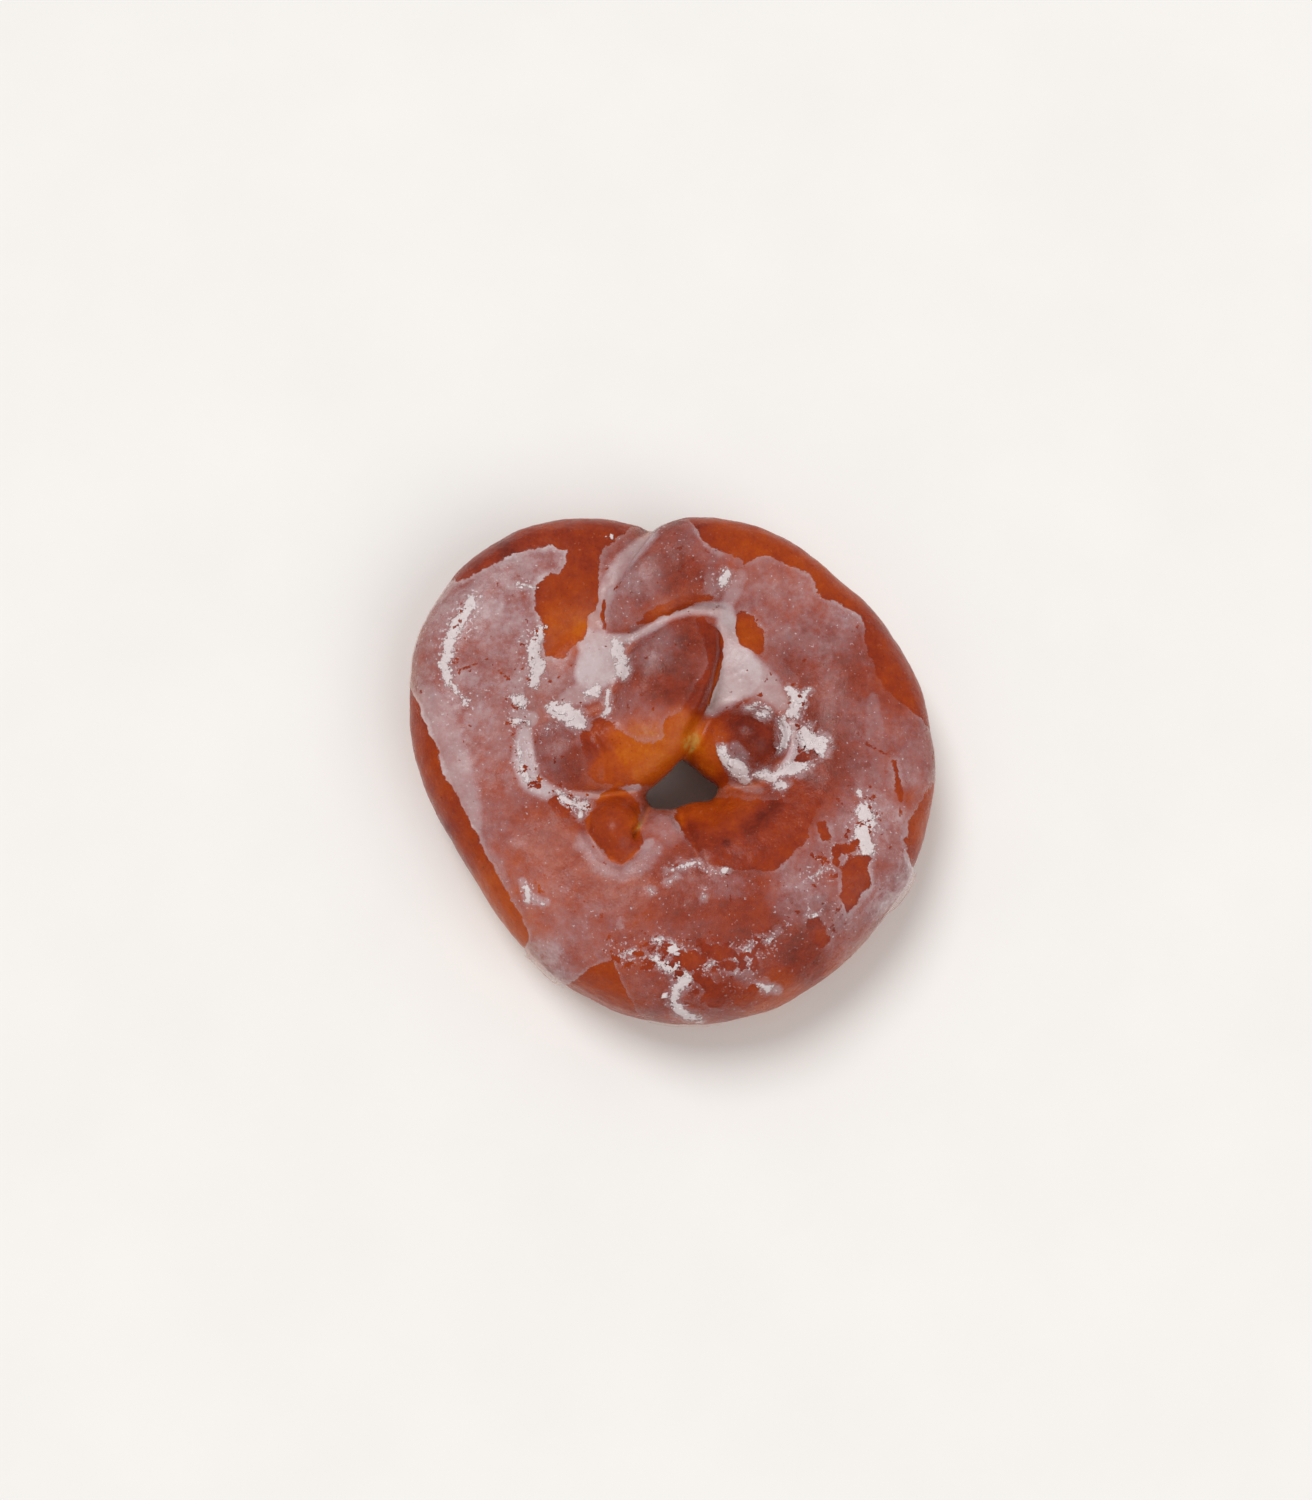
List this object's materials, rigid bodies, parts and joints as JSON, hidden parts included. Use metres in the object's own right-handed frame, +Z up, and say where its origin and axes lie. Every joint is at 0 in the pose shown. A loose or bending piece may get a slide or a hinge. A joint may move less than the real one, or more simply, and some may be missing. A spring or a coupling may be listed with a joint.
{
  "type": "glazed brioche pretzel",
  "caption": "Glazed brioche pretzel baked in one piece, with a thick belly, two limbs, arms crossed twice, a small hole and a flat underside",
  "frame": {"origin": "Middle of the flat underside, which lies on the surface the pretzel rests on.", "axes": "+Z is up, out of the glazed top. +Y points away from the thick belly, to where the two arms cross. +X is to the right as seen in the picture."},
  "size_m": [0.157, 0.1526, 0.0429],
  "materials": {
    "crust": "baked brown brioche crust under a thin, dried white sugar glaze",
    "sugar_glaze": "thin sugar glaze, clear and mauve where thin, dry and white where it pooled"
  },
  "bodies": {
    "root": {"pretzel": "crust"}
  },
  "joints": []
}
